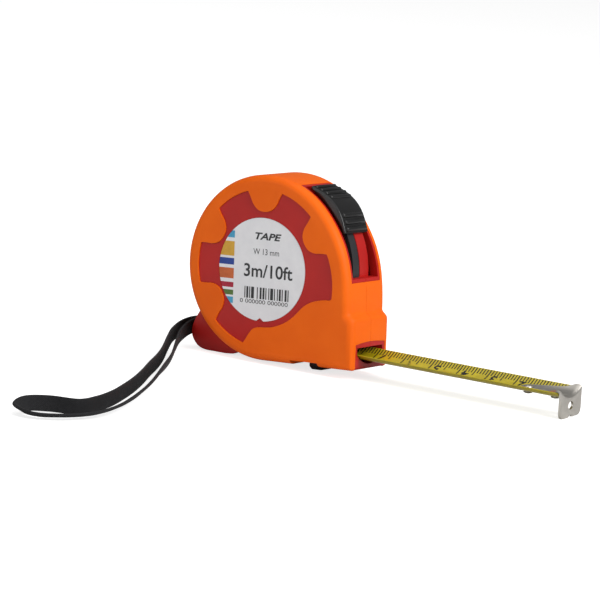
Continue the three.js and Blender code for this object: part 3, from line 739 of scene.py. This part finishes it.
FAR = Matrix.Scale(-1, 4, (0, 1, 0))
for side, mirror in (("left", Matrix.Identity(4)), ("right", FAR)):
    skin = make_piece(
        side + "_rubber_skin", near_skin(), CASE @ mirror, [orange_rubber], "root",
        [side + "_overmould"])
    soften(skin, 0.18)

# %% [markdown]
# The red shell is hollow, with a wall of 1.4 mm, so the slot and the mouth are real openings with
# something behind them. The star plate, the linings and the two cheeks of the strap's lug belong
# to it. The far half also carries the guide rail beside the lock and the countersinks of four
# screws.

# %% Red shells
GAP = 0.3
CENTRE = (BODY_X, BODY_Z)
LABEL_AT = (BODY_X - 0.55, BODY_Z - 0.5)
LABEL_R = 16.05
BAR_AT = (BODY_X - 26.7, 6.2)
SCREW_AT = {"front_screw": polar(21.2, -3), "top_screw": polar(21.2, 121), "rear_screw": polar(21.2, 240)}


def near_shell():
    lining = combine(
        slab(case_outline(0.12), -HALF + SHELL_IN, -0.04),
        [("INTERSECT", combine(slot_lining(0), [("UNION", mouth_lining(0))]))])
    return combine(slab(case_outline(SHELL_IN), -HALF + SHELL_IN, -0.04), [
        ("UNION", slab(star_outline(0), -HALF + STAR_SINK, -HALF + SHELL_IN + 0.2)),
        ("UNION", lug(0, -5, -3.1)),
        ("UNION", lining),
        ("DIFFERENCE", slab(case_outline(CAVITY_IN), -HALF + CAVITY_IN, 1)),
        ("DIFFERENCE", slab(sector(24, 40, SLOT_FROM, SLOT_TO), -SLOT_HALF, 1)),
        ("DIFFERENCE", block(-23, 4, -MOUTH_HALF, 1, MOUTH_LOW, MOUTH_HIGH)),
        ("UNION", mouth_lip()),
        ("DIFFERENCE", block(-20.5, -13.5, -3.5, 1, -3, 5)),
        ("DIFFERENCE", round_bar(LABEL_R + 0.12, -HALF - 1, -HALF + STAR_SINK + 0.3, LABEL_AT, 96)),
        ("DIFFERENCE", round_bar(1.7, -4.4, 0, BAR_AT)),
    ])


left_shell = make_piece(
    "left_red_shell", near_shell(), CASE, [red_abs], "root", ["left_shell"])
soften(left_shell, 0.12)
right_steps = [
    ("UNION", slab(sector(25.0, 28.5, SLOT_FROM - 5, SLOT_TO + 3), -5.2, -0.3)),
    ("UNION", slab(sector(25.0, 29.2, SLOT_FROM - 6, SLOT_FROM - 2.5), -5.2, -0.3)),
    ("DIFFERENCE", round_bar(2.1, -HALF - 1, -HALF + 2.3, CENTRE)),
]
for at in SCREW_AT.values():
    right_steps.append(("DIFFERENCE", round_bar(2.1, -HALF - 1, -HALF + 1.85, at, 32)))
right_shell = make_piece(
    "right_red_shell", combine(near_shell(), right_steps), CASE @ FAR, [red_abs], "root",
    ["right_shell"])
soften(right_shell, 0.12)

# %% [markdown]
# The label is a disc of white film in a shallow seat. Its coloured stripes are printed, so they
# are faces of the same disc: the disc is cut along straight lines and the faces left of one line
# take the ink of their band. A tiny notch at the bottom edge is where the film is keyed in.

# %% Labels
STRIPES = [
    (8.6, 10.8, "sky"), (2.9, 7.45, "yellow"), (0.15, 2.2, "navy"), (-4.15, -0.9, "orange"),
    (-6.9, -5.3, "crimson"), (-9.25, -7.7, "green"), (-11.8, -9.85, "sky"),
]
STRIPE_EDGE = -11.05


def label_disc():
    disc = round_bar(LABEL_R, -HALF + STAR_SINK + 0.02, -HALF + STAR_SINK + 0.28, LABEL_AT, 128)
    notch_at = (BODY_X - 0.75, BODY_Z - 15.5)
    notch = slab([(notch_at[0] - 1.6, notch_at[1] - 1.2), (notch_at[0] + 1.6, notch_at[1] - 1.2), notch_at], -12, -8)
    disc = combine(disc, [("DIFFERENCE", notch)])
    whole = list(disc.verts) + list(disc.edges) + list(disc.faces)
    bmesh.ops.bisect_plane(disc, geom=whole, plane_co=(BODY_X + STRIPE_EDGE, 0, 0), plane_no=(1, 0, 0))
    for low, high, _ in STRIPES:
        for z in (low, high):
            whole = list(disc.verts) + list(disc.edges) + list(disc.faces)
            bmesh.ops.bisect_plane(disc, geom=whole, plane_co=(0, 0, BODY_Z + z), plane_no=(0, 0, 1))
    names = list(stripe_inks)
    for face in disc.faces:
        at = face.calc_center_median()
        if at.x < BODY_X + STRIPE_EDGE:
            for low, high, ink in STRIPES:
                if low < at.z - BODY_Z < high:
                    face.material_index = 1 + names.index(ink)
    return disc


for side, mirror in (("left", Matrix.Identity(4)), ("right", FAR)):
    make_piece(
        side + "_label_film", label_disc(), CASE @ mirror, [label_film, *stripe_inks.values()],
        "root", [side + "_label"], sharp=30)

# %% [markdown]
# What the label says is generic: the tape's length, its width, and a bar pattern that stands for a
# code without being one. Lettering starts as a text object, becomes a mesh, and is then turned
# upright on the label. It lies two hundredths of a millimetre over the film, as ink would.

# %% Label lettering
INK_Y = -HALF + STAR_SINK - 0.005


def lettering(words, size_mm, squeeze=1.0, slant=0.0, bold=0.0):
    curve = bpy.data.curves.new("work_words", "FONT")
    curve.body = words
    curve.size = size_mm
    curve.offset = bold
    curve.shear = slant
    curve.align_x = "CENTER"
    curve.align_y = "CENTER"
    helper = bpy.data.objects.new("work_words", curve)
    bpy.context.scene.collection.objects.link(helper)
    graph = bpy.context.evaluated_depsgraph_get()
    mesh = bpy.data.meshes.new_from_object(helper.evaluated_get(graph))
    words_mesh = bmesh.new()
    words_mesh.from_mesh(mesh)
    bpy.data.meshes.remove(mesh)
    bpy.data.objects.remove(helper)
    bpy.data.curves.remove(curve)
    bmesh.ops.scale(words_mesh, vec=(squeeze, 1, 1), verts=words_mesh.verts)
    return words_mesh


def gather(target, source, place):
    """Adds one bmesh to another, moved to its place."""
    bmesh.ops.transform(source, matrix=place, verts=source.verts)
    mesh = bpy.data.meshes.new("work_gather")
    source.to_mesh(mesh)
    source.free()
    target.from_mesh(mesh)
    bpy.data.meshes.remove(mesh)


UPRIGHT = Matrix.Rotation(math.radians(90), 4, "X")
BAR_WIDTHS = [1, 1, 2, 1, 1, 1, 3, 3, 1, 2, 2, 1, 2, 1, 1, 2, 1, 1, 3, 1, 1, 2, 1, 1, 2, 1, 1, 2, 2, 1, 1]


def on_label(x, z):
    return Matrix.Translation((BODY_X + x, INK_Y, BODY_Z + z)) @ UPRIGHT


def fitted(words, x0, x1, z0, z1, bold, slant=0.0):
    """Lettering stretched to fill a box on the label, given from the middle of the case."""
    letters = lettering(words, 4.0, 1.0, slant, bold)
    xs = [v.co.x for v in letters.verts]
    ys = [v.co.y for v in letters.verts]
    bmesh.ops.translate(
        letters, vec=(-(min(xs) + max(xs)) / 2, -(min(ys) + max(ys)) / 2, 0), verts=letters.verts)
    bmesh.ops.scale(
        letters, vec=((x1 - x0) / (max(xs) - min(xs)), (z1 - z0) / (max(ys) - min(ys)), 1),
        verts=letters.verts)
    return letters, on_label((x0 + x1) / 2, (z0 + z1) / 2)


BAR_LEFT, BAR_RIGHT = -6.8, 9.7


def label_print():
    ink = bmesh.new()
    gather(ink, *fitted("3m/10ft", -7.2, 10.9, -3.0, 1.1, 0.06))
    gather(ink, *fitted("TAPE", -3.4, 6.4, 8.75, 10.95, 0.12, 0.25))
    gather(ink, *fitted("W 13 mm", -3.9, 5.7, 4.1, 5.95, 0.0))
    gather(ink, *fitted("0 000000 000000", -8.4, 9.5, -11.2, -9.95, 0.0))
    unit = (BAR_RIGHT - BAR_LEFT) / sum(BAR_WIDTHS)
    x = BAR_LEFT
    for i, width in enumerate(BAR_WIDTHS):
        step = width * unit
        if i % 2 == 0:
            plate = bmesh.new()
            size = Matrix.Diagonal((step, 3.6, 1, 1))
            bmesh.ops.create_grid(plate, x_segments=1, y_segments=1, size=0.5, matrix=size)
            gather(ink, plate, on_label(x + step / 2, -7.85))
        x += step
    return ink


TURNED = Matrix.Translation((2 * LABEL_AT[0], 0, 0)) @ Matrix.Rotation(math.pi, 4, "Z")
for side, turned in (("left", Matrix.Identity(4)), ("right", TURNED)):
    print_piece = make_piece(
        side + "_label_print", label_print(), CASE @ turned, [grey_ink], "root", sharp=30)

# %% [markdown]
# The lock slider is a curved thumb piece. A smooth body is lofted from its side outline with a
# rounded edge, and the ribs that stop a thumb from slipping are rounded bars set across both
# ends, with the smooth hump between them left bare.

# %% Lock slider
SLIDER_HALF = 6.5
SLIDER_FROM, SLIDER_TO = 25, 61.5
SLIDER_IN, SLIDER_OUT = 28.95, 30.0


def hump(deg):
    t = min(1.0, (deg - SLIDER_FROM) / (SLIDER_TO - SLIDER_FROM) * 1.05)
    return SLIDER_OUT + 1.35 * max(0.0, math.sin(math.pi * t)) ** 1.2


def slider_outline(inset):
    outer = [SLIDER_FROM + inset * 2 + (SLIDER_TO - SLIDER_FROM - inset * 4) * i / 24 for i in range(25)]
    top = [polar(hump(d) - inset, d) for d in outer]
    under = [polar(SLIDER_IN + inset * 0.5, d) for d in reversed(outer)]
    return top + under


EDGE = 0.55
slider_rings = []
for i in range(5):
    a = math.pi / 2 * i / 4
    slider_rings.append((slider_outline(EDGE * (1 - math.sin(a))), -SLIDER_HALF + EDGE * (1 - math.cos(a))))
slider_rings += [(outline, -y) for outline, y in reversed(slider_rings)]
slider_mesh = lofted(slider_rings)


def rib(deg, length, r):
    bar = bmesh.new()
    bmesh.ops.create_uvsphere(bar, u_segments=16, v_segments=12, radius=r)
    bmesh.ops.rotate(bar, cent=(0, 0, 0), matrix=Matrix.Rotation(math.pi / 2, 3, "X"), verts=bar.verts)
    for v in bar.verts:
        v.co.y += math.copysign(length / 2 - r, v.co.y) if abs(v.co.y) > 1e-6 else 0
    x, z = polar(hump(deg) - r * 0.1, deg)
    return bar, Matrix.Translation((x, 0, z))


for deg, r in ((27.4, 0.8), (31.4, 0.8), (35.4, 0.8), (48.4, 0.66), (52.2, 0.66), (56.0, 0.66), (59.8, 0.66)):
    bar, place = rib(deg, 11.2, r)
    gather(slider_mesh, bar, place)
gather(slider_mesh, slab(sector(28.65, SLIDER_IN + 0.5, 40, 46), -3.6, -0.2), Matrix.Identity(4))
make_piece(
    "lock_thumb_slider", slider_mesh, CASE, [black_abs], "lock", ["lock_slider"], sharp=45)

# %% Lock tongue
tongue_mesh = combine(
    slab(sector(27.5, 28.6, -20, 56), -3.6, -0.2),
    [("UNION", slab(sector(26.4, 28.6, -20, -15), -3.6, -0.2))])
lock_tongue = make_piece(
    "lock_tongue_strip", tongue_mesh, CASE, [grey_acetal], "lock", ["lock_tongue"])
soften(lock_tongue, 0.15)

# %% [markdown]
# The brake button is a small black nub under the case that a finger presses to hold the tape. It
# is extruded from its side outline and all its edges are rounded.

# %% Brake button
NUB = [(-19.3, -1.85), (-15.6, -1.85), (-13.8, 0.3), (-13.8, 2.2), (-20.2, 2.2), (-20.2, -0.9)]
button_mesh = slab(NUB, -3.2, 3.2)
bmesh.ops.bevel(
    button_mesh, geom=list(button_mesh.edges), offset=0.4, segments=3, profile=0.5, affect="EDGES",
    material=-1)
make_piece(
    "brake_button_nub", button_mesh, CASE, [black_abs], "button", ["brake_button"])

# %% [markdown]
# The tape is a thin strip with a cup across it, which keeps it straight when it is drawn out. It
# is a grid bent to the cup and given its thickness.

# %% Tape blade
TAPE_IN, TAPE_OUT = 19.0, 70.2
TAPE_END = TAPE_OUT - 0.4


blade_mesh = bmesh.new()
bmesh.ops.create_grid(blade_mesh, x_segments=60, y_segments=20, size=0.5)
for v in blade_mesh.verts:
    y = v.co.y * TAPE_W
    v.co = (-TAPE_IN + (v.co.x + 0.5) * (TAPE_END + TAPE_IN), y, cup_z(y))
bmesh.ops.recalc_face_normals(blade_mesh, faces=blade_mesh.faces)
if sum(f.normal.z for f in blade_mesh.faces) < 0:
    bmesh.ops.reverse_faces(blade_mesh, faces=blade_mesh.faces)
grown = bmesh.ops.solidify(blade_mesh, geom=list(blade_mesh.faces), thickness=0.2)
blade = make_piece(
    "enamelled_tape_blade", blade_mesh, TAPE, [yellow_enamel], "root", ["tape_blade"],
    sharp=50)
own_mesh(blade)

# %% [markdown]
# The scale is printed along the far edge: a short line each millimetre, a longer one each half
# centimetre, the longest at each centimetre, with its number beside it. Each line is a small
# grid, and everything is dropped on to the cup, so lines and numbers follow the curve.

# %% Printed scale
ZERO_X = 69.6
PRINT_EDGE = 6.2
PRINT_LIFT = 0.025
LINE_LENGTH = {10: 4.9, 5: 3.3, 1: 2.1}


def line_kind(mm):
    return 10 if mm % 10 == 0 else 5 if mm % 5 == 0 else 1


def lay_on_cup(flat):
    for y in [k * 0.4 for k in range(-15, 16)]:
        whole = list(flat.verts) + list(flat.edges) + list(flat.faces)
        bmesh.ops.bisect_plane(flat, geom=whole, plane_co=(0, y, 0), plane_no=(0, 1, 0))
    for v in flat.verts:
        v.co.z = cup_z(v.co.y) + PRINT_LIFT


def scale_line(target, mm, length, width):
    line = bmesh.new()
    bmesh.ops.create_grid(
        line, x_segments=1, y_segments=1, size=0.5, matrix=Matrix.Diagonal((width, length, 1, 1)))
    gather(target, line, Matrix.Translation((ZERO_X - mm, PRINT_EDGE - length / 2, 0)))


black_print = bmesh.new()
for mm in range(1, 88):
    scale_line(black_print, mm, LINE_LENGTH[line_kind(mm)], 0.42 if mm % 10 == 0 else 0.36)
for cm in range(1, 9):
    number = lettering(str(cm), 4.1, 1.15, bold=0.12)
    place = Matrix.Translation((ZERO_X - cm * 10 + 2.4, 3.0, 0)) @ Matrix.Rotation(math.pi, 4, "Z")
    gather(black_print, number, place)
lay_on_cup(black_print)
red_print = bmesh.new()
gather(
    red_print, lettering("METRIC", 1.15, 1.0),
    Matrix.Translation((26.7, 1.9, 0)) @ Matrix.Rotation(math.pi, 4, "Z"))
lay_on_cup(red_print)
for name, ink_mesh, ink in (
        ("tape_scale_print", black_print, black_ink), ("tape_red_print", red_print, red_ink)):
    ink_piece = make_piece(name, ink_mesh, TAPE, [ink], "root", sharp=60)
    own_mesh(ink_piece)

# %% [markdown]
# The end hook is stamped from one sheet: a tongue that lies in the cup of the tape, and a leg bent
# down in front. A flat grid is bent station by station, from the tongue's tip round the bend to
# the foot of the leg. Then it gets its thickness, and the nail hole and the notch are cut.

# %% End hook
HOOK_T = 0.75
LEG_X = TAPE_OUT + 0.8
LEG_BOTTOM = TAPE_Z - 8.1
BEND_R = 1.0
HOOK_LIFT = 1.05    # top face of the tongue over the cup of the tape
WIDTH_AT = [
    (53.75, 0.5), (53.95, 1.2), (54.6, 1.8), (57.2, 2.6), (61.0, 3.3), (65.7, 4.2), (67.2, 4.8),
    (68.2, 5.5), (69.0, 6.0),
]
LEG_WIDTH = [(0, 6.1), (5.4, 6.1), (6.2, 6.0), (6.9, 5.7), (7.3, 5.2), (7.55, 4.6)]


def between(table, at):
    for (a, wa), (b, wb) in zip(table, table[1:]):
        if at <= b:
            return wa + (wb - wa) * max(0.0, (at - a) / (b - a))
    return table[-1][1]


TONGUE_STEPS, BEND_STEPS, LEG_STEPS = 26, 8, 22
stations = TONGUE_STEPS + BEND_STEPS + LEG_STEPS


def hook_point(i, across):
    """Point of the sheet's outer face at station i of the way from tongue tip to leg foot."""
    start, bend = 53.75, LEG_X - BEND_R
    if i <= TONGUE_STEPS:
        x = start + (bend - start) * i / TONGUE_STEPS
        y = across * between(WIDTH_AT, x)
        return (x, y, cup_z(y) + HOOK_LIFT)
    if i <= TONGUE_STEPS + BEND_STEPS:
        a = math.pi / 2 * (i - TONGUE_STEPS) / BEND_STEPS
        y = across * (6.0 + 0.1 * math.sin(a))
        return (bend + BEND_R * math.sin(a), y, cup_z(y) + HOOK_LIFT - BEND_R * (1 - math.cos(a)))
    t = (i - TONGUE_STEPS - BEND_STEPS) / LEG_STEPS
    y = across * between(LEG_WIDTH, t * 7.55)
    high = cup_z(y) + HOOK_LIFT - BEND_R
    return (LEG_X, y, high + (LEG_BOTTOM - high) * t)


hook_mesh = bmesh.new()
bmesh.ops.create_grid(hook_mesh, x_segments=stations, y_segments=24, size=0.5)
for v in hook_mesh.verts:
    v.co = hook_point(round((v.co.x + 0.5) * stations), v.co.y * 2)
bmesh.ops.recalc_face_normals(hook_mesh, faces=hook_mesh.faces)
bmesh.ops.solidify(hook_mesh, geom=list(hook_mesh.faces), thickness=HOOK_T)
bmesh.ops.recalc_face_normals(hook_mesh, faces=hook_mesh.faces)
low_x = max(v.co.x for v in hook_mesh.verts)
print("hook leg reaches", round(low_x, 2), "mm")
nail_hole = bmesh.new()
bmesh.ops.create_cone(
    nail_hole, cap_ends=True, segments=32, radius1=1.25, radius2=1.25, depth=4,
    matrix=Matrix.Translation((LEG_X, 0, 0.65)) @ Matrix.Diagonal((1, 1.15, 1, 1))
    @ Matrix.Rotation(math.pi / 2, 4, "Y"))
notch = bmesh.new()
bmesh.ops.create_cone(
    notch, cap_ends=True, segments=32, radius1=1.3, radius2=1.3, depth=4,
    matrix=Matrix.Translation((LEG_X, 0, LEG_BOTTOM - 0.6)) @ Matrix.Rotation(math.pi / 2, 4, "Y"))
hook_mesh = combine(hook_mesh, [("DIFFERENCE", nail_hole), ("DIFFERENCE", notch)])
end_hook = make_piece(
    "stamped_end_hook", hook_mesh, TAPE, [nickel_steel], "hook", ["end_hook"], sharp=40)
soften(end_hook, 0.14)

# %% [markdown]
# Two rivets hold the hook and let it slide by its own thickness, which is what makes inside and
# outside measures agree. Each is a profile of a dome, a shank and a lower head, spun once round.

# %% Rivets
def spun(profile, steps=32):
    mesh_data = bmesh.new()
    verts = [mesh_data.verts.new((r, 0, z)) for r, z in profile]
    edges = [mesh_data.edges.new(pair) for pair in zip(verts, verts[1:])]
    bmesh.ops.spin(
        mesh_data, geom=verts + edges, cent=(0, 0, 0), axis=(0, 0, 1), angle=math.tau, steps=steps,
        use_merge=True)
    bmesh.ops.remove_doubles(mesh_data, verts=mesh_data.verts, dist=1e-4)
    bmesh.ops.recalc_face_normals(mesh_data, faces=mesh_data.faces)
    return mesh_data


RIVET_LOW = cup_z(0) - 0.5
RIVET_TOP = cup_z(0) + 1.1
rivet_profile = [
    (0, RIVET_LOW - 0.45), (0.7, RIVET_LOW - 0.4), (1.2, RIVET_LOW - 0.25), (1.5, RIVET_LOW),
    (0.8, RIVET_LOW + 0.02), (0.8, RIVET_TOP - 0.02), (1.5, RIVET_TOP), (1.42, RIVET_TOP + 0.18),
    (1.1, RIVET_TOP + 0.4), (0.6, RIVET_TOP + 0.54), (0, RIVET_TOP + 0.58),
]
for name, back_mm in (("front_rivet", 4.6), ("rear_rivet", 14.0)):
    make_piece(
        name + "_dome", spun(rivet_profile), TAPE @ Matrix.Translation((TAPE_OUT - back_mm, 0, 0)),
        [nickel_steel], "tape", [name], sharp=50)

# %% [markdown]
# The screws are pan heads with a cross recess, seen only from the far side. The profile is spun
# about the screw's own axis and the cross is cut with two small blocks.

# %% Screws
def screw_mesh(tip, head_top):
    profile = [
        (0, tip), (0.7, tip), (1.0, tip + 0.8), (1.0, head_top - 1.0), (1.8, head_top - 1.0),
        (1.8, head_top - 0.45), (1.6, head_top - 0.18), (1.2, head_top - 0.03), (0, head_top),
    ]
    cuts = []
    for size in ((1.15, 0.2), (0.2, 1.15)):
        cuts.append(("DIFFERENCE", block(-size[0], size[0], -size[1], size[1], head_top - 0.6, head_top + 1)))
    return combine(spun(profile), cuts)


STAND = Matrix.Rotation(math.radians(-90), 4, "X")
screw_list = [(name, at, -4.8, HALF - STAR_SINK - 0.1) for name, at in SCREW_AT.items()]
screw_list.append(("centre_screw", CENTRE, 3.0, HALF - STAR_SINK - 0.55))
for name, at, tip, head_top in screw_list:
    make_piece(
        name + "_pan_head", screw_mesh(tip, head_top), CASE @ Matrix.Translation((at[0], 0, at[1])) @ STAND,
        [zinc_steel], "root", [name], sharp=35)

# %% [markdown]
# The pieces inside the case keep their CAD shapes, which are right as they are. They only get the
# finish of the real material.

# %% Finishes for the CAD pieces that stay
STAYING = {
    "spring_arbor": zinc_steel, "power_spring": blued_steel, "reel_drum": black_abs, "reel_cover": black_abs,
    "tape_coil": yellow_enamel, "tape_lead": yellow_enamel, "strap_bar": zinc_steel,
}
for name, material in STAYING.items():
    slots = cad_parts[name].material_slots
    for place in slots:
        place.material = material
    print(name, "takes", material.name)

# %% [markdown]
# The studio is a white sweep under large soft lights. The key stands to the front right, so the
# front of the case is brighter than its side, and a low fill keeps the side readable.

# %% Studio
stage_material = bpy.data.materials.new("white_paper_sweep")
stage_material.use_nodes = True
stage_shader = stage_material.node_tree.nodes["Principled BSDF"]
stage_shader.inputs["Base Color"].default_value = linear("d4d4d4")
stage_shader.inputs["Roughness"].default_value = 0.9
stage_shader.inputs["Specular IOR Level"].default_value = 0.1
stage_shader.inputs["Emission Color"].default_value = linear("ffffff")
stage_rays = add_node(stage_material, "ShaderNodeLightPath")
stage_glow = add_node(
    stage_material, "ShaderNodeMath", {1: 0.75}, {0: stage_rays.outputs["Is Camera Ray"]}, operation="MULTIPLY")
link(stage_material, stage_glow.outputs["Value"], stage_shader.inputs["Emission Strength"])
floor_mesh = bmesh.new()
bmesh.ops.create_grid(floor_mesh, x_segments=1, y_segments=1, size=6)
floor_data = bpy.data.meshes.new("paper_floor")
floor_mesh.to_mesh(floor_data)
floor_mesh.free()
floor = bpy.data.objects.new("paper_floor", floor_data)
floor_data.materials.append(stage_material)
bpy.context.scene.collection.objects.link(floor)

world = bpy.data.worlds.new("studio_world")
bpy.context.scene.world = world
world.use_nodes = True
world_tree = world.node_tree
background = world_tree.nodes["Background"]
background.inputs["Color"].default_value = (1, 1, 1, 1)
background.inputs["Strength"].default_value = 0.22
seen = world_tree.nodes.new("ShaderNodeBackground")
seen.inputs["Strength"].default_value = 1.0
paths = world_tree.nodes.new("ShaderNodeLightPath")
mix = world_tree.nodes.new("ShaderNodeMixShader")
world_tree.links.new(paths.outputs["Is Camera Ray"], mix.inputs[0])
world_tree.links.new(background.outputs[0], mix.inputs[1])
world_tree.links.new(seen.outputs[0], mix.inputs[2])
world_tree.links.new(mix.outputs[0], world_tree.nodes["World Output"].inputs["Surface"])


def soft_light(name, at, aim, size, power):
    data = bpy.data.lights.new(name, "AREA")
    data.shape = "SQUARE"
    data.size = size
    data.energy = power
    light = bpy.data.objects.new(name, data)
    light.location = at
    light.rotation_euler = (Vector(aim) - Vector(at)).to_track_quat("-Z", "Y").to_euler()
    bpy.context.scene.collection.objects.link(light)
    return light


soft_light("front_key", (1.3, -0.15, 0.9), (-0.01, 0, 0.02), 0.9, 21)
soft_light("side_fill", (-0.5, -1.4, 0.5), (-0.01, 0, 0.02), 0.9, 5)
soft_light("top_softbox", (0.0, -0.1, 1.4), (-0.01, 0, 0.02), 1.4, 7)
bpy.context.scene.view_settings.view_transform = "Standard"
